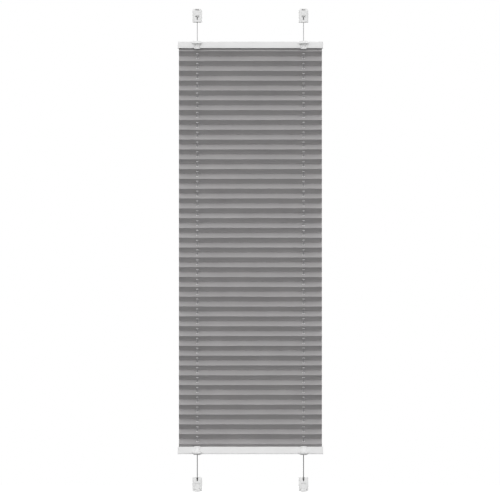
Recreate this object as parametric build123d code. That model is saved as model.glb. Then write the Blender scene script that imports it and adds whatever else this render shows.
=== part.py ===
from build123d import *
import os
from math import asin, cos, degrees, pi, sin, tan

# A pleated window blind on two crossing tension cords, with a top and a bottom rail that both slide.
# Millimetres. X runs along the rails, +Z is up, and -Y faces the room.
# The origin is the centre of the four shoe screws, in the plane that the shoes are screwed to.

# Blind
blind_width = 350.0          # rail with its two end caps
blind_height = 993.0         # top of the top rail to the underside of the bottom rail, let down
cord_spacing = 256.0         # between the two cord columns, and so between the shoe screws
top_cord_gap = 46.5          # free cord between the top rail and the top shoes
bottom_cord_gap = 56.2       # free cord between the bottom rail and the bottom shoes

# Rails: one extrusion shape in two heights, each with its open side towards the fabric
rail_depth = 20.0
top_rail_height = 16.0
bottom_rail_height = 17.6
rail_wall = 1.2
rail_corner = 1.5
wall_gap = 1.5               # between the rails' backs and the wall plane
strip_channel_height = 4.6
fabric_slot = 3.0            # opening of the strip channel towards the fabric
groove_height = 0.8          # decorative groove along the rail's front
groove_depth = 0.4
groove_offset = 3.2          # from the rail's fabric side to the groove
fit_gap = 0.1                # between pieces that are pushed together and stay there
cut_past = 1.0               # how far each cut runs past the face that it opens

# End caps
cap_plate = 2.4
cap_rim = 0.4                # how far a cap stands proud of the rail all round
cap_plug = 8.0

# Fabric
fabric_thickness = 0.35
pleat_face = 20.0            # one face of a pleat, from fold to fold
target_pitch = 23.65         # drop of one full pleat with the blind let down
fabric_side_gap = 0.3        # from the fabric's side edge to each end cap
fabric_lead = 0.8            # straight fabric between a rail's mouth and the first face
fabric_hole_play = 1.45      # round a cord, in the hole punched across the pleat face
strip_width = 12.0
strip_height = 2.2
strip_slit = 1.7             # depth of the slit that grips the fabric's edge
strip_end_gap = 0.4

# Cords and their guides
cord_diameter = 1.8
cord_bend = 3.0              # radius at the guides
cord_apart = 0.55            # from each cord's side to the middle between the two, where they pass
lead_in = 32.0               # from a column to where its cord has moved to its own lane
lane_bend = 32.0             # radius where a cord turns into its lane
guide_outside = 7.0          # guide block, from the column towards the rail's end
guide_inside = 15.0          # guide block, from the column towards the rail's middle
guide_corner = 2.0
guide_play = 0.85            # round a cord, in the guide's bore
guide_flare = 0.3            # how much wider the bore is at its two mouths
nose_wall = 0.9              # wall of the noses that stand through the rail
nose_play = 0.2              # between a nose and the hole that it fills
lane_play = 0.45             # beside the cords in the guide's lane
lane_headroom = 0.6          # above and below the cords in the guide's lane

# Pull grips
grip_lip = 24.0              # diameter of the lip
grip_stem = 11.8             # diameter of the stem where it meets the rail's fabric side
grip_dome = 2.0              # how far the dome rises past the rail
lip_drop = 4.2               # from the rail's outer side down to the lip's sharp lower edge
lip_edge = 1.0               # thickness of the lip's rim
dome_flat = 0.45             # flat top of the dome, as a share of the lip's radius
dome_shoulder = (0.8, 0.23)  # its shoulder: share of the lip's radius, share of the dome's height
taper_across = 0.4           # the taper's waist, as a share of the way from stem to lip
taper_down = 0.22            # and as a share of the way from the lip's edge to the foot
grip_plate = 1.4
grip_plate_width = 16.0
grip_foot_width = 14.0
grip_foot_reach = 3.4        # how far the foot reaches in under the rail

# Shoes
shoe_width = 23.4
shoe_before_cord = 4.5       # from the cord's axis to the shoe's front
shoe_panel_width = 17.4      # raised middle of the shoe's front
shoe_panel_rise = 2.4
panel_start = 0.8            # from the shoe's cord end to the raised panel
top_panel_end = 1.0          # from the raised panel to the shoe's outer end
bottom_panel_end = 4.6
panel_edge = 0.8             # rounding round the raised panel
shoe_edge = 1.0              # rounding round the shoe's front
top_shoe_corner = 6.5        # rounded corners of the top shoe's outer end
bottom_shoe_corner = 1.6     # and of the bottom shoe's
cord_end_corner = 1.6        # corners of both shoes' cord ends
screw_from_top_shoe = 22.5   # from the shoe's cord end to its screw
screw_from_bottom_shoe = 24.7
past_top_screw = 11.0        # from the screw to the shoe's outer end
past_bottom_screw = 8.8
screw_hole = 4.2
screw_head = 9.0
screw_seat = 3.5             # material left under the screw's head

# Cord toggle in the top shoe
toggle_diameter = 3.0
toggle_length = 8.2
toggle_from_end = 14.0       # from the shoe's cord end to the toggle
toggle_play = 0.2
toggle_edge = 0.4
slot_back_play = 0.5         # behind the toggle
slot_stem_width = 3.0
slot_stem_start = 6.0        # from the shoe's cord end to the slot's stem
shoe_bore_play = 0.35        # round a cord, in the shoe's bore
cord_seat_play = 0.05        # radial, where a cord ends in a toggle or tensioner
toggle_seat_gap = 0.1        # past the cord's end in the toggle
slide_seat_gap = 0.2         # past the cord's end in the tensioner
end_pocket_width = 9.0       # lever pocket in the outer end of the top shoe
end_pocket_length = 3.8
end_pocket_rim = 1.4         # from the pocket to the shoe's outer end
end_pocket_depth = 6.0

# Screw cover of the top shoe
cover_width = 11.6
cover_length = 10.6
cover_rise = 1.0
cover_corner = 1.5
cover_edge = 0.4
cover_plug_length = 4.0

# Tensioner in the bottom shoe
slide_width = 12.0
slide_tab = 2.2              # how far the tab stands out of the shoe
slide_play = 0.15
slide_behind_cord = 3.0      # from the cord's axis to the channel's floor
slide_corner = 2.5
slide_travel_in = 3.0
slide_top_wall = 6.0         # solid end of the shoe above the channel
bridge_length = 8.0          # front wall that keeps the slide's head in
bridge_thickness = 2.2
rib_size = 1.0
rib_height = 2.0
rib_end = 1.5                # from the shoe's outer end to the end of the ribs
notch_width = 8.0            # funnel that shows the cord, at the shoe's cord end
notch_length = 12.0
notch_play = 0.3             # behind the cord
slide_cord_depth = 7.0
slide_ridges = 3             # finger grooves across the tensioner
ridge_width = 1.0
ridge_step = 2.2
ridge_start = 2.5            # from the shoe's outer end to the first groove

# Derived sizes of what holds the cords, and of the shoes round their screws
cord_spread = cord_diameter / 2 + cord_apart
guide_bore = cord_diameter + 2 * guide_play
guide_nose = guide_bore + 2 * nose_wall
guide_lane = 2 * (cord_spread + cord_diameter / 2 + lane_play)
fabric_hole = cord_diameter + 2 * fabric_hole_play
shoe_cord_bore = cord_diameter + 2 * shoe_bore_play
cord_seat = cord_diameter + 2 * cord_seat_play
top_shoe_length = screw_from_top_shoe + past_top_screw
bottom_shoe_length = screw_from_bottom_shoe + past_bottom_screw

# Derived places
cord_x = cord_spacing / 2
screw_spacing_z = (
    screw_from_top_shoe + top_cord_gap + blind_height + bottom_cord_gap + screw_from_bottom_shoe
)
screw_z = screw_spacing_z / 2
top_shoe_z = screw_z - screw_from_top_shoe
bottom_shoe_z = -screw_z + screw_from_bottom_shoe
top_rail_top = top_shoe_z - top_cord_gap
top_rail_mouth = top_rail_top - top_rail_height
bottom_rail_bottom = bottom_shoe_z + bottom_cord_gap
bottom_rail_mouth = bottom_rail_bottom + bottom_rail_height
rail_back = -wall_gap
rail_front = -wall_gap - rail_depth
cord_y = (rail_back + rail_front) / 2
shoe_depth = shoe_before_cord - cord_y
slide_floor = -cord_y - slide_behind_cord
rail_length = blind_width - 2 * cap_plate
fabric_width = rail_length - 2 * fabric_side_gap
web_level = rail_wall + strip_channel_height
chamber_level = web_level + rail_wall
chamber_width = rail_depth - 2 * rail_wall
head_height = slide_top_wall + slide_travel_in + slide_play   # shoe's cord end to tensioner's head
slide_head = bottom_shoe_z - head_height

# Derived pleats: the drop holds whole pleats and one more half of a pitch
pleat_drop = top_rail_mouth - bottom_rail_mouth - 2 * fabric_lead
ridge_count = round(pleat_drop / target_pitch + 0.5)
pleat_pitch = pleat_drop / (ridge_count - 0.5)
face_tilt = asin(pleat_pitch / 2 / pleat_face)
pleat_depth = pleat_face * cos(face_tilt)

os.makedirs("parts", exist_ok=True)


def write(solid, node):
    export_step(solid, f"parts/{node}.step")


def block(x, y, z):
    """A box from three (low, high) pairs."""
    size = [high - low for low, high in (x, y, z)]
    middle = [(high + low) / 2 for low, high in (x, y, z)]
    return Pos(*middle) * Box(*size)


def rod_x(diameter, length, place):
    return Pos(*place) * Rot(0, 90, 0) * Cylinder(diameter / 2, length)


def rod_y(diameter, y_low, y_high, x, z):
    middle = (y_low + y_high) / 2
    return Pos(x, middle, z) * Rot(90, 0, 0) * Cylinder(diameter / 2, y_high - y_low)


def rod_z(diameter, z_low, z_high, x, y=cord_y):
    return Pos(x, y, (z_low + z_high) / 2) * Cylinder(diameter / 2, z_high - z_low)


def from_mouth(solid, side):
    """Places a piece made at height 0 above a rail's mouth. Side 1 is the top rail, -1 the bottom rail."""
    if side > 0:
        return Pos(0, 0, top_rail_mouth) * solid
    return Pos(0, 0, bottom_rail_mouth) * mirror(solid, about=Plane.XY)


def rail_outline(height, rim=0.0):
    """The rail's outer section in Y and Z, standing on its mouth."""
    width = rail_depth + 2 * rim
    section = RectangleRounded(width, height + 2 * rim, rail_corner + rim)
    return Plane.YZ * Pos(cord_y, height / 2) * section


def rail(height):
    body = extrude(rail_outline(height), rail_length / 2, both=True)
    half = rail_length / 2 + cut_past
    inside = (cord_y - chamber_width / 2, cord_y + chamber_width / 2)
    body -= block((-half, half), inside, (chamber_level, height - rail_wall))
    body -= block((-half, half), inside, (rail_wall, web_level))
    slot = (cord_y - fabric_slot / 2, cord_y + fabric_slot / 2)
    body -= block((-half, half), slot, (-cut_past, rail_wall + cut_past))
    groove = (rail_front - cut_past, rail_front + groove_depth)
    body -= block((-half, half), groove, (groove_offset, groove_offset + groove_height))
    for x in (-cord_x, cord_x):
        body -= rod_z(guide_nose + 2 * nose_play, -cut_past, height + cut_past, x)
    return body


def end_cap(height, end):
    """End 1 closes the right end of a rail, -1 the left end."""
    plate = extrude(rail_outline(height, cap_rim), end * cap_plate)
    plate = Pos(end * rail_length / 2, 0, 0) * plate
    outer = plate.faces().sort_by(Axis.X)[-1 if end > 0 else 0]
    plate = fillet(outer.edges(), cap_rim * 2)
    plug_x = sorted((end * rail_length / 2, end * (rail_length / 2 - cap_plug)))
    reach = chamber_width / 2 - fit_gap
    plug_z = (chamber_level + fit_gap, height - rail_wall - fit_gap)
    plug = block(plug_x, (cord_y - reach, cord_y + reach), plug_z)
    hollow_x = sorted((end * (rail_length / 2 - cap_plug - cut_past), end * rail_length / 2))
    hollow_y = (cord_y - reach + rail_wall, cord_y + reach - rail_wall)
    hollow_z = (plug_z[0] + rail_wall, plug_z[1] - rail_wall)
    return plate + (plug - block(hollow_x, hollow_y, hollow_z))


def fabric_strip():
    half = rail_length / 2 - strip_end_gap
    y = (cord_y - strip_width / 2, cord_y + strip_width / 2)
    bar = block((-half, half), y, (rail_wall, rail_wall + strip_height))
    slit = fabric_thickness / 2 + fit_gap
    slit_x = (-half - cut_past, half + cut_past)
    bar -= block(slit_x, (cord_y - slit, cord_y + slit), (0, rail_wall + strip_slit))
    for x in (-cord_x, cord_x):
        bar -= rod_z(guide_nose + 2 * nose_play, 0, rail_wall + strip_height + cut_past, x)
    return bar


def cord_guide(height, column):
    """Column 1 is the right cord column, -1 the left one."""
    x = column * cord_x
    ends = sorted((x + column * guide_outside, x - column * guide_inside))
    reach = chamber_width / 2 - fit_gap
    z = (chamber_level + fit_gap, height - rail_wall - fit_gap)
    body = block(ends, (cord_y - reach, cord_y + reach), z)
    body = fillet(body.edges().filter_by(Axis.Z), guide_corner)
    body += rod_z(guide_nose, 0, height, x)
    lane = sorted((x, x - column * (guide_inside + cut_past)))
    middle = (z[0] + z[1]) / 2
    tall = cord_spread + cord_diameter / 2 + lane_headroom
    lane_y = (cord_y - guide_lane / 2, cord_y + guide_lane / 2)
    body -= block(lane, lane_y, (middle - tall, middle + tall))
    body -= rod_z(guide_bore, -cut_past, height + cut_past, x)
    for mouth in (0, height):
        body -= Pos(x, cord_y, mouth) * Sphere(guide_bore / 2 + guide_flare)
    return body


def fabric_side(side):
    """One surface of the folded sheet as (y, z) points from top to bottom. Side -1 faces the room."""
    straight = side * fabric_thickness / 2
    shift = straight / sin(face_tilt)
    first = top_rail_mouth - fabric_lead
    last = bottom_rail_mouth + fabric_lead
    rise = (shift - straight) * tan(face_tilt)
    grip = rail_wall + strip_slit - fit_gap
    points = [(cord_y + straight, top_rail_mouth + grip), (cord_y + straight, first - rise)]
    for fold in range(2 * ridge_count - 1):
        forward = -1 if fold % 2 == 0 else 1
        height = first - pleat_pitch * (0.25 + fold / 2)
        points.append((cord_y + shift + forward * pleat_depth / 2, height))
    points.append((cord_y + straight, last + rise))
    points.append((cord_y + straight, bottom_rail_mouth - grip))
    return points


def fabric():
    outline = fabric_side(-1) + fabric_side(1)[::-1]
    section = make_face(Polyline(*outline, close=True))
    sheet = extrude(Plane.YZ * section, fabric_width / 2, both=True)
    for x in (-cord_x, cord_x):
        hole = Ellipse(fabric_hole / 2, fabric_hole / 2 * cos(face_tilt))
        long = top_rail_mouth - bottom_rail_mouth
        punch = extrude(Plane((x, cord_y, bottom_rail_mouth)) * hole, long)
        sheet -= punch
        clear = (x - guide_nose / 2 - 2 * nose_play, x + guide_nose / 2 + 2 * nose_play)
        y = (cord_y - cut_past, cord_y + cut_past)
        sheet -= block(clear, y, (top_rail_mouth - nose_play, top_rail_mouth + top_rail_height))
        sheet -= block(clear, y, (bottom_rail_bottom, bottom_rail_mouth + nose_play))
    return sheet


def cord_points(start):
    """The route of a cord from its top shoe to its bottom shoe. Start 1 is the right column."""
    near, far = start * cord_x, -start * cord_x
    lane_near, lane_far = near - start * lead_in, far + start * lead_in
    lane_y = cord_y + start * cord_spread
    top_lane = top_rail_mouth + (chamber_level + top_rail_height - rail_wall) / 2
    bottom_lane = bottom_rail_mouth - (chamber_level + bottom_rail_height - rail_wall) / 2
    top_end = top_shoe_z + toggle_from_end + toggle_diameter / 4
    bottom_end = slide_head - slide_cord_depth + slide_seat_gap
    return [
        (near, cord_y, top_end),
        (near, cord_y, top_lane + cord_spread),
        (lane_near, lane_y, top_lane),
        (lane_far, lane_y, top_lane),
        (far, cord_y, top_lane - cord_spread),
        (far, cord_y, bottom_lane + cord_spread),
        (lane_far, lane_y, bottom_lane),
        (lane_near, lane_y, bottom_lane),
        (near, cord_y, bottom_lane - cord_spread),
        (near, cord_y, bottom_end),
    ]


def cord(start):
    radii = [cord_bend, lane_bend, lane_bend, cord_bend] * 2
    path = FilletPolyline(*cord_points(start), radius=radii)
    tube = sweep(Plane(path @ 0, z_dir=path % 0) * Circle(cord_diameter / 2), path=path)
    expected = pi * (cord_diameter / 2) ** 2 * path.length
    print(f"cord {start}: length {path.length:.1f}, volume {tube.volume:.1f}, expected {expected:.1f}")
    return tube


def grip(height, column):
    """A half-round funnel with a lip and a dome, on a plate over the rail's outer side."""
    x = column * cord_x
    lip, stem = grip_lip / 2, grip_stem / 2
    edge = height - lip_drop
    rim_top = edge + lip_edge
    crown = height + grip_dome
    dome = Spline(
        (lip * dome_flat, crown),
        (lip * dome_shoulder[0], crown - (crown - rim_top) * dome_shoulder[1]),
        (lip, rim_top),
        tangents=[(1, 0), (0.1, -1)],
    )
    underside = Spline(
        (lip, edge),
        (stem + (lip - stem) * taper_across, edge - (edge + grip_plate) * taper_down),
        (stem, -grip_plate),
        tangents=[(-1, -0.35), (0, -1)],
    )
    outline = [
        Line((0, -grip_plate), (0, crown)),
        Line((0, crown), (lip * dome_flat, crown)),
        dome,
        Line((lip, rim_top), (lip, edge)),
        underside,
        Line((stem, -grip_plate), (0, -grip_plate)),
    ]
    bell = revolve(Plane.XZ * make_face(outline), Axis.Z)
    bell = Pos(x, rail_front, 0) * bell
    back_x = (x - lip - cut_past, x + lip + cut_past)
    back_y = (rail_front, rail_front + lip + cut_past)
    bell -= block(back_x, back_y, (-grip_plate - cut_past, height))
    plate_y = (rail_front - grip_plate, cord_y + guide_nose)
    plate_x = (x - grip_plate_width / 2, x + grip_plate_width / 2)
    plate = block(plate_x, plate_y, (height, height + grip_plate))
    foot_x = (x - grip_foot_width / 2, x + grip_foot_width / 2)
    foot = block(foot_x, (rail_front - grip_plate, rail_front + grip_foot_reach), (-grip_plate, 0))
    front = block(foot_x, (rail_front - grip_plate, rail_front), (-grip_plate, height + grip_plate))
    body = bell + plate + foot + front
    return body - rod_z(guide_bore, height - cut_past, height + grip_dome + cut_past, x)


def shoe_block(length, corner, panel_end):
    """A shoe at the origin's column, its cord end at height 0 and its outer end up."""
    half = shoe_width / 2
    low = shoe_depth - shoe_panel_rise
    body = block((-half, half), (-low, 0), (0, length))
    upright = body.edges().filter_by(Axis.Y)
    body = fillet(upright.group_by(Axis.Z)[-1], corner)
    body = fillet(body.edges().filter_by(Axis.Y).group_by(Axis.Z)[0], cord_end_corner)
    body = fillet(body.faces().sort_by(Axis.Y)[0].edges(), shoe_edge)
    panel_half = shoe_panel_width / 2
    panel_z = (panel_start, length - panel_end)
    panel = block((-panel_half, panel_half), (-shoe_depth, -low / 2), panel_z)
    outer_corners = panel.edges().filter_by(Axis.Y).group_by(Axis.Z)[-1]
    panel = fillet(outer_corners, max(corner - panel_end, panel_edge))
    panel = fillet(panel.faces().sort_by(Axis.Y)[0].edges(), panel_edge)
    return body + panel


def top_shoe():
    body = shoe_block(top_shoe_length, top_shoe_corner, top_panel_end)
    slot_floor = cord_y + toggle_diameter / 2 + slot_back_play
    front = -shoe_depth - cut_past
    bar_half = toggle_length / 2 + toggle_play
    bar_tall = toggle_diameter / 2 + toggle_play
    bar_z = (toggle_from_end - bar_tall, toggle_from_end + bar_tall)
    body -= block((-bar_half, bar_half), (front, slot_floor), bar_z)
    stem = slot_stem_width / 2
    body -= block((-stem, stem), (front, slot_floor), (slot_stem_start, toggle_from_end))
    body -= rod_z(shoe_cord_bore, -cut_past, slot_stem_start + cut_past, 0)
    body -= rod_y(screw_hole, -shoe_depth, cut_past, 0, screw_from_top_shoe)
    body -= rod_y(screw_head, front, -screw_seat, 0, screw_from_top_shoe)
    pocket = end_pocket_width / 2
    floor = -shoe_depth + end_pocket_depth
    pocket_top = top_shoe_length - end_pocket_rim
    body -= block((-pocket, pocket), (front, floor), (pocket_top - end_pocket_length, pocket_top))
    return body


def screw_cover():
    y = (-shoe_depth - cover_rise, -shoe_depth)
    z = (screw_from_top_shoe - cover_length / 2, screw_from_top_shoe + cover_length / 2)
    panel = block((-cover_width / 2, cover_width / 2), y, z)
    panel = fillet(panel.edges().filter_by(Axis.Y), cover_corner)
    panel = fillet(panel.faces().sort_by(Axis.Y)[0].edges(), cover_edge)
    plug_end = -shoe_depth + cover_plug_length
    return panel + rod_y(screw_head - 2 * fit_gap, -shoe_depth, plug_end, 0, screw_from_top_shoe)


def toggle():
    bar = rod_x(toggle_diameter, toggle_length, (0, cord_y, toggle_from_end))
    bar = fillet(bar.edges(), toggle_edge)
    top = toggle_from_end + toggle_diameter / 4 + toggle_seat_gap
    return bar - rod_z(cord_seat, toggle_from_end - toggle_diameter, top, 0)


def bottom_shoe():
    """Like the top shoe, with its cord end at height 0 and its outer end up; it is mounted upside down."""
    body = shoe_block(bottom_shoe_length, bottom_shoe_corner, bottom_panel_end)
    half = slide_width / 2 + slide_play
    front = -shoe_depth - cut_past
    past_end = bottom_shoe_length + cut_past
    channel_z = (slide_top_wall, past_end)
    body -= block((-half, half), (-shoe_depth + bridge_thickness, -slide_floor), channel_z)
    open_z = (slide_top_wall + bridge_length, past_end)
    body -= block((-half, half), (front, -slide_floor), open_z)
    rib = half + rib_size
    rib_y = (cord_y - rib_height / 2 - slide_play, cord_y + rib_height / 2 + slide_play)
    body -= block((-rib, rib), rib_y, (slide_top_wall, past_end))
    body -= rod_z(shoe_cord_bore, -cut_past, slide_top_wall + cut_past, 0)
    body -= rod_y(screw_hole, -shoe_depth, cut_past, 0, screw_from_bottom_shoe)
    body -= rod_y(screw_head, -slide_floor - cut_past, -screw_seat, 0, screw_from_bottom_shoe)
    notch = Polyline(
        (-notch_width / 2, -cut_past),
        (notch_width / 2, -cut_past),
        (notch_width / 2, 0),
        (0, notch_length),
        (-notch_width / 2, 0),
        close=True,
    )
    notch_floor = cord_y + cord_diameter / 2 + notch_play
    cutter = extrude(Plane.XZ * make_face(notch), notch_floor - front)
    return body - Pos(0, notch_floor, 0) * cutter


def tensioner():
    half = slide_width / 2
    back = -slide_floor - slide_play
    under_bridge = -shoe_depth + bridge_thickness + slide_play
    end = bottom_shoe_length + slide_tab
    step = slide_top_wall + bridge_length + slide_travel_in + slide_play
    body = block((-half, half), (under_bridge, back), (head_height, end))
    full = block((-half, half), (-shoe_depth + slide_play, back), (step, end))
    full = fillet(full.edges().filter_by(Axis.Y).group_by(Axis.Z)[-1], slide_corner)
    body = (body & block((-half, half), (-shoe_depth, 0), (0, step + cut_past))) + full
    rib = half + rib_size - slide_play
    rib_y = (cord_y - rib_height / 2, cord_y + rib_height / 2)
    body += block((-rib, rib), rib_y, (head_height, bottom_shoe_length - rib_end))
    for ridge in range(slide_ridges):
        z = bottom_shoe_length - ridge_start - ridge_step * ridge
        body -= rod_x(ridge_width, slide_width + cut_past, (0, -shoe_depth + slide_play, z))
    return body - rod_z(cord_seat, head_height - cut_past, head_height + slide_cord_depth, 0)


def at_top(piece, column):
    return Pos(column * cord_x, 0, top_shoe_z) * piece


def at_bottom(piece, column):
    return Pos(column * cord_x, 0, bottom_shoe_z) * mirror(piece, about=Plane.XY)


columns = {"left": -1, "right": 1}

write(from_mouth(rail(top_rail_height), 1), "top_rail")
write(from_mouth(rail(bottom_rail_height), -1), "bottom_rail")
write(from_mouth(fabric_strip(), 1), "top_fabric_strip")
write(from_mouth(fabric_strip(), -1), "bottom_fabric_strip")
write(fabric(), "pleated_fabric")

for name, column in columns.items():
    write(from_mouth(end_cap(top_rail_height, column), 1), f"top_rail_{name}_end_cap")
    write(from_mouth(end_cap(bottom_rail_height, column), -1), f"bottom_rail_{name}_end_cap")
    write(from_mouth(cord_guide(top_rail_height, column), 1), f"top_{name}_cord_guide")
    write(from_mouth(cord_guide(bottom_rail_height, column), -1), f"bottom_{name}_cord_guide")
    write(from_mouth(grip(top_rail_height, column), 1), f"top_{name}_grip")
    write(from_mouth(grip(bottom_rail_height, column), -1), f"bottom_{name}_grip")
    write(cord(column), f"{name}_tension_cord")
    write(at_top(top_shoe(), column), f"top_{name}_shoe")
    write(at_top(screw_cover(), column), f"top_{name}_screw_cover")
    write(at_top(toggle(), column), f"top_{name}_cord_toggle")
    write(at_bottom(bottom_shoe(), column), f"bottom_{name}_shoe")
    write(at_bottom(tensioner(), column), f"bottom_{name}_tensioner")

print(f"pleats {ridge_count}, pitch {pleat_pitch:.3f}, depth {pleat_depth:.2f}")
print(f"face tilt {degrees(face_tilt):.2f} degrees")
print(f"sheet {fabric_width:.1f} wide, {(2 * ridge_count - 1) * pleat_face:.0f} long between the mouths")
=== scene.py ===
import math

import bmesh
import bpy
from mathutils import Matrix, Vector


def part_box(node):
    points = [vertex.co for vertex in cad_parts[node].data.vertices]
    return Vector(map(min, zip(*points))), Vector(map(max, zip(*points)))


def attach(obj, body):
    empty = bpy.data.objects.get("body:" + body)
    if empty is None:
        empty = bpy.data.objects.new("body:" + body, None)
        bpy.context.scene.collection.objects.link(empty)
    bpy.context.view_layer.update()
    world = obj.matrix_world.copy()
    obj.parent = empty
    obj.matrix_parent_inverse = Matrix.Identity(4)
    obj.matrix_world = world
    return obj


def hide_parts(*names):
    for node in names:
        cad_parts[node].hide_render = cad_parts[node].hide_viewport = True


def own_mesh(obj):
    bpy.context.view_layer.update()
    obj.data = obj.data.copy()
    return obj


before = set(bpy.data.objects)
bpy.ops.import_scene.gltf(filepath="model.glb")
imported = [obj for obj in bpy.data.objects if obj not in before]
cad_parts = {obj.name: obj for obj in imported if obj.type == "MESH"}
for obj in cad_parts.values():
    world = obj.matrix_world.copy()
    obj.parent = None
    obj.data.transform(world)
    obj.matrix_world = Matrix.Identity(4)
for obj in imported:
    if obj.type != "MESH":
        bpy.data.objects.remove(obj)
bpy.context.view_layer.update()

# Places from the CAD frame, in metres. X runs along the rails, +Z is up, -Y faces the room.
top_rail_low, top_rail_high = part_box("top_rail")
bottom_rail_low, bottom_rail_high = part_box("bottom_rail")
toggle_low, toggle_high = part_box("top_right_cord_toggle")
half_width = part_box("pleated_fabric")[1].x
cord_x = (toggle_low.x + toggle_high.x) / 2
cord_y = (top_rail_low.y + top_rail_high.y) / 2
mouth_top = top_rail_low.z
mouth_bottom = bottom_rail_high.z
hang = mouth_top - mouth_bottom


# ---------------------------------------------------------------- materials

def new_material(name, colour, roughness):
    """A node material with its flat values on the shader's own sockets."""
    material = bpy.data.materials.new(name)
    material.use_nodes = True
    nodes, links = material.node_tree.nodes, material.node_tree.links
    shader = nodes["Principled BSDF"]
    shader.inputs["Base Color"].default_value = (*colour, 1)
    shader.inputs["Roughness"].default_value = roughness
    place = nodes.new("ShaderNodeTexCoord")
    return material, nodes, links, shader, place.outputs["Object"]


def noise(nodes, links, place, scale, detail, stretch=None):
    """A cloudy pattern, finer with a larger scale; stretch scales it along each axis."""
    if stretch:
        mapping = nodes.new("ShaderNodeMapping")
        mapping.inputs["Scale"].default_value = stretch
        links.new(place, mapping.inputs["Vector"])
        place = mapping.outputs["Vector"]
    texture = nodes.new("ShaderNodeTexNoise")
    texture.inputs["Scale"].default_value = scale
    texture.inputs["Detail"].default_value = detail
    links.new(place, texture.inputs["Vector"])
    return texture.outputs["Fac"]


def spread(nodes, links, factor, low, high, from_low=0.3, from_high=0.7):
    """A number from low to high as factor goes from from_low to from_high."""
    node = nodes.new("ShaderNodeMapRange")
    node.inputs["From Min"].default_value = from_low
    node.inputs["From Max"].default_value = from_high
    node.inputs["To Min"].default_value = low
    node.inputs["To Max"].default_value = high
    links.new(factor, node.inputs["Value"])
    return node.outputs["Result"]


def tint(nodes, links, factor, first, second):
    """A colour from first to second as factor goes from 0 to 1."""
    node = nodes.new("ShaderNodeMix")
    node.data_type = "RGBA"
    node.inputs["A"].default_value = (*first, 1)
    node.inputs["B"].default_value = (*second, 1)
    links.new(factor, node.inputs["Factor"])
    return node.outputs["Result"]


def bump(nodes, links, shader, heights, distance):
    """Bump from one or more (height, strength) pairs, the first underneath."""
    normal = None
    for height, strength in heights:
        node = nodes.new("ShaderNodeBump")
        node.inputs["Strength"].default_value = strength
        node.inputs["Distance"].default_value = distance
        links.new(height, node.inputs["Height"])
        if normal:
            links.new(normal, node.inputs["Normal"])
        normal = node.outputs["Normal"]
    links.new(normal, shader.inputs["Normal"])


def powder_coat():
    """White powder coat: fine orange peel and a faint unevenness."""
    m, nodes, links, shader, place = new_material("powder_coat", (0.8, 0.8, 0.795), 0.38)
    cloud = spread(nodes, links, noise(nodes, links, place, scale=26, detail=2), 0, 1)
    colour = tint(nodes, links, cloud, (0.79, 0.79, 0.788), (0.825, 0.825, 0.823))
    links.new(colour, shader.inputs["Base Color"])
    peel = noise(nodes, links, place, scale=900, detail=2)
    links.new(spread(nodes, links, peel, 0.34, 0.46), shader.inputs["Roughness"])
    bump(nodes, links, shader, [(peel, 0.12)], distance=0.0001)
    return m


def moulded(name, first, second, roughness):
    """Moulded plastic: a fine spark-eroded grain and slightly uneven gloss."""
    m, nodes, links, shader, place = new_material(name, first, roughness)
    cloud = noise(nodes, links, place, scale=60, detail=2)
    colour = tint(nodes, links, spread(nodes, links, cloud, 0, 1), first, second)
    links.new(colour, shader.inputs["Base Color"])
    grain = noise(nodes, links, place, scale=2600, detail=2)
    gloss = spread(nodes, links, cloud, roughness - 0.05, roughness + 0.06)
    links.new(gloss, shader.inputs["Roughness"])
    bump(nodes, links, shader, [(grain, 0.1)], distance=0.00008)
    return m


def pleated_cloth():
    """Bonded polyester: matted fibres along the pleats, a fine crepe and a soft sheen."""
    m, nodes, links, shader, place = new_material("pleated_cloth", (0.355, 0.346, 0.349), 0.86)
    shader.inputs["Sheen Weight"].default_value = 0.15
    shader.inputs["Sheen Roughness"].default_value = 0.5
    fibres = noise(nodes, links, place, scale=700, detail=4, stretch=(0.35, 1.6, 1.6))
    crepe = noise(nodes, links, place, scale=2300, detail=2)
    cloud = noise(nodes, links, place, scale=18, detail=3)
    fibre_share, cloud_share = 0.55, 0.45
    blend = nodes.new("ShaderNodeMath")
    blend.operation = "MULTIPLY_ADD"
    blend.inputs[1].default_value = fibre_share
    links.new(fibres, blend.inputs[0])
    links.new(spread(nodes, links, cloud, 0.0, cloud_share), blend.inputs[2])
    colour = tint(nodes, links, blend.outputs[0], (0.324, 0.315, 0.318), (0.387, 0.378, 0.38))
    links.new(colour, shader.inputs["Base Color"])
    bump(nodes, links, shader, [(crepe, 0.25), (fibres, 0.45)], distance=0.00015)
    return m


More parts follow.
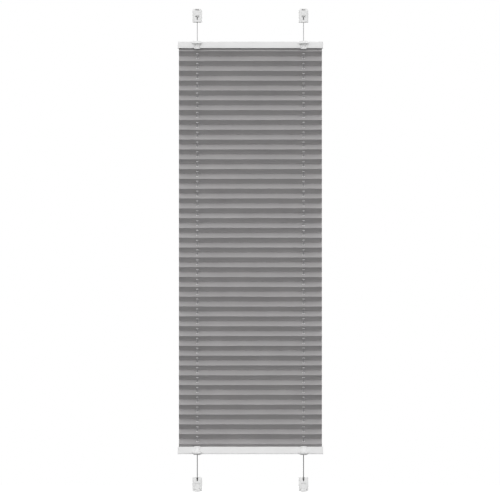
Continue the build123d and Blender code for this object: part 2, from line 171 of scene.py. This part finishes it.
def braided_cord():
    """Grey braid with painted light and shade: painted dark below the bottom rail and painted pale
    above the top rail. UV: u round the cord, v along it.
    """
    m, nodes, links, shader, place = new_material("braided_cord", (0.1, 0.1, 0.105), 0.7)
    strand_scale = 1.35
    margin = 0.1             # how far the painted light and shade tones run past the rails' mouths
    # Painted light and shade: the cord is one grey, but its colour is set by height, dark below the
    # bottom rail, mid between the rails and pale above the top rail, for how the light falls on it
    painted_light_stops = [                # height and grey
        (mouth_bottom - 0.02, 0.02), (mouth_bottom + 0.02, 0.27),
        (mouth_top - 0.01, 0.27), (mouth_top + 0.03, 0.47),
    ]
    uv = nodes.new("ShaderNodeUVMap")
    uv.uv_map = "braid"
    strands = []
    for lean in (1, -1):
        mapping = nodes.new("ShaderNodeMapping")
        mapping.inputs["Rotation"].default_value = (0, 0, lean * math.pi / 4)
        links.new(uv.outputs["UV"], mapping.inputs["Vector"])
        wave = nodes.new("ShaderNodeTexWave")
        wave.inputs["Scale"].default_value = strand_scale
        links.new(mapping.outputs["Vector"], wave.inputs["Vector"])
        strands.append(wave.outputs["Fac"])
    over = nodes.new("ShaderNodeMath")
    over.operation = "MAXIMUM"
    links.new(strands[0], over.inputs[0])
    links.new(strands[1], over.inputs[1])
    axes = nodes.new("ShaderNodeSeparateXYZ")
    links.new(place, axes.inputs["Vector"])
    tone = tint(nodes, links, over.outputs[0], (0.62, 0.62, 0.63), (1, 1, 1))
    height = spread(nodes, links, axes.outputs["Z"], 0, 1, mouth_bottom - margin, mouth_top + margin)
    ramp = nodes.new("ShaderNodeValToRGB")
    while len(ramp.color_ramp.elements) < len(painted_light_stops):
        ramp.color_ramp.elements.new(0.5)
    for element, (z, grey) in zip(ramp.color_ramp.elements, painted_light_stops):
        element.position = (z - mouth_bottom + margin) / (hang + 2 * margin)
        element.color = (grey, grey, grey * 1.02, 1)
    links.new(height, ramp.inputs["Fac"])
    blend = nodes.new("ShaderNodeMix")
    blend.data_type = "RGBA"
    blend.blend_type = "MULTIPLY"
    blend.inputs["Factor"].default_value = 1
    links.new(ramp.outputs["Color"], blend.inputs["A"])
    links.new(tone, blend.inputs["B"])
    links.new(blend.outputs["Result"], shader.inputs["Base Color"])
    bump(nodes, links, shader, [(over.outputs[0], 0.6)], distance=0.0002)
    return m


coat = powder_coat()
white_plastic = moulded("white_plastic", (0.79, 0.79, 0.788), (0.815, 0.815, 0.813), 0.5)
inner_plastic = moulded("inner_plastic", (0.62, 0.62, 0.6), (0.66, 0.66, 0.64), 0.5)
cloth = pleated_cloth()
cord_finish = braided_cord()

hidden_pieces = ("cord_guide", "fabric_strip")
for name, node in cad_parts.items():
    if name in ("top_rail", "bottom_rail"):
        finish = coat
    elif any(piece in name for piece in hidden_pieces):
        finish = inner_plastic
    else:
        finish = white_plastic
    for material_slot in node.material_slots:
        material_slot.material = finish


# ---------------------------------------------------------------- pleated fabric

sheet_thickness = 0.00035
face_length = 0.020
lead = 0.0008                # straight cloth between a rail's mouth and the first face
tongue = 0.0028              # cloth held in each rail
folds = 81                   # 41 ridges towards the room and 40 valleys
pitch = (hang - 2 * lead) / (folds / 2)
tilt = math.asin(pitch / 2 / face_length)
depth = face_length * math.cos(tilt)
patch = 0.004                # half of the square of cloth round a cord hole
patch_share = patch / face_length
hole = 0.0022                # its radius
ring_steps = 4               # mesh steps along each side of that square
fold_share = 0.02            # of a face, at each end, that bends into the fold
fold_rounding = 0.0002       # how much the bend takes off the fold line

# Unevenness as waves: height, and angle per fold, per metre of width and at the start.
depth_waves = ((0.00016, 2.1, 13, 0), (0.0001, 5.3, -31, 1))
drop_waves = ((0.0002, 3.3, 9, 2), (0.00012, 1.7, 37, 0))
belly_waves = ((0.00022, 1.3, 0, 5), (0.00012, 2.9, 17, 0))

# Mesh columns over the width, and mesh rows as shares of a face.
edge_step = 0.0006
side_step, middle_step = 0.0108, 0.016
across = [-half_width, -half_width + edge_step]
across += [-half_width + 0.009 + i * side_step for i in range(3)]
across += [-cord_x + i * patch / 2 for i in range(-2, 3)]
across += [-cord_x + (i + 1) * middle_step for i in range(7)]
across += [0.0]
across += [-x for x in across[-2::-1]]
across = sorted(set(round(x, 7) for x in across))
along = [0, fold_share, 0.06, 0.3, 0.4, 0.5, 0.6, 0.7, 0.94, 1 - fold_share, 1]


def unevenness(waves, count, x):
    """The sum of the waves at fold or face number count and at x."""
    return sum(
        height * math.sin(per_fold * count + per_metre * x + start)
        for height, per_fold, per_metre, start in waves
    )


def fold_point(fold, x):
    """The fold line, with the small unevenness that a folded sheet keeps."""
    if fold < 0:
        return Vector((x, cord_y, mouth_top - lead))
    if fold >= folds:
        return Vector((x, cord_y, mouth_bottom + lead))
    ridge = fold % 2 == 0
    y = cord_y + (-1 if ridge else 1) * depth / 2
    z = mouth_top - lead - pitch * (0.25 + fold / 2)
    y += unevenness(depth_waves, fold, x)
    z += unevenness(drop_waves, fold, x)
    return Vector((x, y, z))


def face_point(face, t, x):
    """A point of face number face, between folds face - 1 and face, a share t of the way down.

    The first and the last face are half faces: t runs from 0.5, or to 0.5.
    """
    if face == 0:
        t = (t - 0.5) * 2
    elif face == folds:
        t = t * 2
    start, end = fold_point(face - 1, x), fold_point(face, x)
    point = start.lerp(end, t)
    normal = Vector((1, 0, 0)).cross(end - start).normalized()
    point += normal * unevenness(belly_waves, face, x) * math.sin(math.pi * t)
    rounding = fold_rounding * max(0.0, 1 - min(t, 1 - t) / fold_share)
    if rounding:
        pull = Vector((0, cord_y - point.y, 0)).normalized()
        at_fold = face - 1 if t < 0.5 else face
        if 0 <= at_fold < folds:
            point += pull * rounding
    return point


def build_fabric():
    """The folded sheet with its cord holes and its held edges, given a thickness."""
    sheet = bmesh.new()
    at = {}

    def corner(face, t, x):
        key = (face, round(t, 4), round(x, 7))
        if t == 1 and face < folds:
            key = (face + 1, 0, round(x, 7))
        if key not in at:
            at[key] = sheet.verts.new(face_point(face, t, x))
        return at[key]

    def quad(points):
        points = [p for i, p in enumerate(points) if p != points[i - 1]]
        if len(points) > 2:
            sheet.faces.new(points)

    columns = (-cord_x, cord_x)
    for face in range(folds + 1):
        low = 0.5 if face == 0 else 0
        high = 0.5 if face == folds else 1
        rows = [t for t in along if low <= t <= high]
        for t0, t1 in zip(rows, rows[1:]):
            for x0, x1 in zip(across, across[1:]):
                beside = any(abs((x0 + x1) / 2 - x) < patch for x in columns)
                if beside and abs((t0 + t1) / 2 - 0.5) < patch_share:
                    continue
                quad([corner(face, t, x) for t, x in ((t0, x0), (t0, x1), (t1, x1), (t1, x0))])
        for x in columns:
            ring = []
            for step in range(4 * ring_steps):
                side, part = divmod(step, ring_steps)
                s = 2 * part / ring_steps - 1
                u, v = [(1, s), (-s, 1), (-1, -s), (s, -1)][side]
                t_outer = 0.5 + v * patch_share
                reach = math.hypot(u, v)
                t_inner = 0.5 + v / reach * hole / face_length
                ring.append((t_outer, x + u * patch, t_inner, x + u / reach * hole))
            for a, b in zip(ring, ring[1:] + ring[:1]):
                if min(a[0], b[0]) >= low - 1e-6 and max(a[0], b[0]) <= high + 1e-6:
                    outer = [corner(face, round(p[0], 4), round(p[1], 7)) for p in (a, b)]
                    inner_edge = [corner(face, p[2], p[3]) for p in (b, a)]
                    quad([*outer, *inner_edge])
    for face, t, way in ((0, 0.5, 1), (folds, 0.5, -1)):
        held = {}
        for x in across:
            top = corner(face, t, x)
            held[x] = (top, sheet.verts.new((x, cord_y, top.co.z + way * (lead + tongue))))
        for x0, x1 in zip(across, across[1:]):
            if all(abs((x0 + x1) / 2 - x) > patch for x in columns):
                quad([held[x0][0], held[x0][1], held[x1][1], held[x1][0]])
    bmesh.ops.delete(sheet, geom=[v for v in sheet.verts if not v.link_faces], context="VERTS")
    bmesh.ops.recalc_face_normals(sheet, faces=sheet.faces)
    mesh = bpy.data.meshes.new("fabric")
    sheet.to_mesh(mesh)
    sheet.free()
    mesh.polygons.foreach_set("use_smooth", [True] * len(mesh.polygons))
    mesh.materials.append(cloth)
    fabric = bpy.data.objects.new("fabric", mesh)
    bpy.context.scene.collection.objects.link(fabric)
    solid = fabric.modifiers.new("thickness", "SOLIDIFY")
    solid.thickness = sheet_thickness
    solid.offset = 0
    bpy.context.view_layer.update()
    graph = bpy.context.evaluated_depsgraph_get()
    final = bpy.data.meshes.new_from_object(fabric.evaluated_get(graph))
    fabric.modifiers.clear()
    fabric.data = final
    return fabric


fabric = build_fabric()
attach(fabric, "upper_rail")
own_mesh(fabric)
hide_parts("pleated_fabric")


# ---------------------------------------------------------------- tension cords

cord_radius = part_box("left_tension_cord")[1].x - cord_x
lane_offset = cord_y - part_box("left_tension_cord")[0].y - cord_radius
braid_repeats = 4            # of the braid's pattern, round the cord
end_overlap = 0.0061         # how far a cord's end piece runs up inside its column
end_inset = 0.00002          # how much thinner it is than the column that it overlaps
top_lane_depth = 0.0051      # from the top rail's outer side to the cords' crossing
bottom_lane_depth = 0.0059   # and from the bottom rail's


def tube(name, points, radius, sides=12):
    """A round cord through the points, closed at both ends, with a braid UV."""
    made = bmesh.new()
    layer = made.loops.layers.uv.new("braid")
    rings, lengths = [], [0.0]
    for a, b in zip(points, points[1:]):
        lengths.append(lengths[-1] + (b - a).length)
    for i, p in enumerate(points):
        ahead = points[min(i + 1, len(points) - 1)] - points[max(i - 1, 0)]
        ahead.normalize()
        side = ahead.orthogonal() if abs(ahead.y) > 0.9 else Vector((0, 1, 0)).cross(ahead)
        side.normalize()
        up = ahead.cross(side)
        ring = []
        for s in range(sides):
            angle = 2 * math.pi * s / sides
            spot = p + side * radius * math.cos(angle) + up * radius * math.sin(angle)
            ring.append(made.verts.new(spot))
        rings.append(ring)
    for i in range(len(rings) - 1):
        for s in range(sides):
            e = (s + 1) % sides
            face = made.faces.new([rings[i][s], rings[i][e], rings[i + 1][e], rings[i + 1][s]])
            marks = [(s, lengths[i]), (s + 1, lengths[i]), (s + 1, lengths[i + 1]), (s, lengths[i + 1])]
            for loop, (turn, length) in zip(face.loops, marks):
                loop[layer].uv = (turn / sides * braid_repeats, length / (2 * radius))
            face.smooth = True
    made.faces.new(rings[0][::-1])
    made.faces.new(rings[-1])
    mesh = bpy.data.meshes.new(name)
    made.to_mesh(mesh)
    made.free()
    mesh.materials.append(cord_finish)
    piece = bpy.data.objects.new(name, mesh)
    bpy.context.scene.collection.objects.link(piece)
    return piece


def upright(x, top, bottom, pieces):
    """Points straight down at x, from top to bottom."""
    return [Vector((x, cord_y, top + (bottom - top) * i / pieces)) for i in range(pieces + 1)]


for side, sign in (("left", -1), ("right", 1)):
    cord_low, cord_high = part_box(f"{side}_tension_cord")
    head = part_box(f"bottom_{side}_tensioner")[1].z
    x = sign * cord_x
    column = tube(f"{side}_cord", upright(x, cord_high.z, head, pieces=60), cord_radius)
    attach(column, "window_shoes")
    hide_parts(f"{side}_tension_cord")
    end_route = upright(x, head + end_overlap, cord_low.z, pieces=2)
    end = tube(f"{side}_cord_end", end_route, cord_radius - end_inset)
    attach(end, f"{side}_tensioner")


def crossing(name, body, start, lane_z):
    """The hidden run of a cord inside a rail, from the column on side start to the other one."""
    route = [(1, 0, 1), (0.86, 0.6, 0.5), (0.75, 1, 0), (-0.75, 1, 0), (-0.86, 0.6, -0.5), (-1, 0, -1)]
    points = []
    for along_rail, beside, above in route:
        x, y = start * cord_x * along_rail, cord_y + start * lane_offset * beside
        points.append(Vector((x, y, lane_z + lane_offset * above)))
    run = tube(name, points, cord_radius, sides=8)
    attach(run, body)


for side, sign in (("left", -1), ("right", 1)):
    crossing(f"{side}_cord_in_top_rail", "upper_rail", sign, top_rail_high.z - top_lane_depth)
    crossing(f"{side}_cord_in_bottom_rail", "lower_rail", sign, bottom_rail_low.z + bottom_lane_depth)


# ---------------------------------------------------------------- stage, light and camera

scene = bpy.context.scene
scene.view_settings.view_transform = "Standard"
scene.view_settings.look = "None"

# The world casts soft light that depends on its elevation, and the camera sees it as plain white.
sky_strength = 1.8
sky_stops = [                # elevation in degrees, and grey
    (-90, 0.02), (-38, 0.03), (-16, 0.18), (-8, 0.84), (14, 0.84),
    (20, 0.5), (34, 0.62), (48, 0.62), (58, 0.2), (78, 0.06),
]
world = bpy.data.worlds.new("studio")
scene.world = world
world.use_nodes = True
w_nodes, w_links = world.node_tree.nodes, world.node_tree.links
w_out = w_nodes["World Output"]
seen, cast = w_nodes["Background"], w_nodes.new("ShaderNodeBackground")
seen.inputs["Color"].default_value = (1, 1, 1, 1)
seen.inputs["Strength"].default_value = 1.0
cast.inputs["Strength"].default_value = sky_strength
sky = w_nodes.new("ShaderNodeTexCoord")
sky_axes = w_nodes.new("ShaderNodeSeparateXYZ")
sky_height = w_nodes.new("ShaderNodeMapRange")
sky_height.inputs["From Min"].default_value = -1
sky_ramp = w_nodes.new("ShaderNodeValToRGB")
while len(sky_ramp.color_ramp.elements) < len(sky_stops):
    sky_ramp.color_ramp.elements.new(0.5)
for element, (elevation, grey) in zip(sky_ramp.color_ramp.elements, sky_stops):
    element.position = (math.sin(math.radians(elevation)) + 1) / 2
    element.color = (grey, grey, grey, 1)
w_links.new(sky.outputs["Generated"], sky_axes.inputs[0])
w_links.new(sky_axes.outputs["Z"], sky_height.inputs["Value"])
w_links.new(sky_height.outputs["Result"], sky_ramp.inputs["Fac"])
w_links.new(sky_ramp.outputs["Color"], cast.inputs["Color"])
ray = w_nodes.new("ShaderNodeLightPath")
either = w_nodes.new("ShaderNodeMixShader")
w_links.new(ray.outputs["Is Camera Ray"], either.inputs["Fac"])
w_links.new(cast.outputs[0], either.inputs[1])
w_links.new(seen.outputs[0], either.inputs[2])
w_links.new(either.outputs[0], w_out.inputs["Surface"])

# One wide, soft lamp from above and in front.
key_place = Vector((-0.5, -4.0, 3.6))
key_light = bpy.data.lights.new("key", "SUN")
key_light.angle = math.radians(50)
key_light.energy = 0.51
key = bpy.data.objects.new("key", key_light)
key.location = key_place
key.rotation_euler = (-key_place).to_track_quat("-Z", "Y").to_euler()
scene.collection.objects.link(key)

floor_reach = 4.0
floor_z = -0.72
floor_glow = 0.93            # keeps the floor as pale as the world behind it
corners = [(-floor_reach, -floor_reach), (floor_reach, -floor_reach)]
corners += [(floor_reach, floor_reach), (-floor_reach, floor_reach)]
floor_mesh = bpy.data.meshes.new("floor")
floor_mesh.from_pydata([(x, y, floor_z) for x, y in corners], [], [(0, 1, 2, 3)])
floor = bpy.data.objects.new("floor", floor_mesh)
scene.collection.objects.link(floor)
floor_finish, _, _, floor_shader, _ = new_material("floor", (0.1, 0.1, 0.1), 0.9)
floor_shader.inputs["Emission Color"].default_value = (1, 1, 1, 1)
floor_shader.inputs["Emission Strength"].default_value = floor_glow
floor_mesh.materials.append(floor_finish)
floor.visible_diffuse = False
floor.visible_glossy = False

# Square on and from far away, as in the photo.
camera_data = bpy.data.cameras.new("camera")
camera = bpy.data.objects.new("camera", camera_data)
scene.collection.objects.link(camera)
camera.location = (-0.001, -15.0, 0.0007)
camera.rotation_euler = (math.pi / 2, 0, 0)
camera_data.sensor_width = 36
camera_data.lens = 447.9
camera_data.clip_end = 60
scene.camera = camera
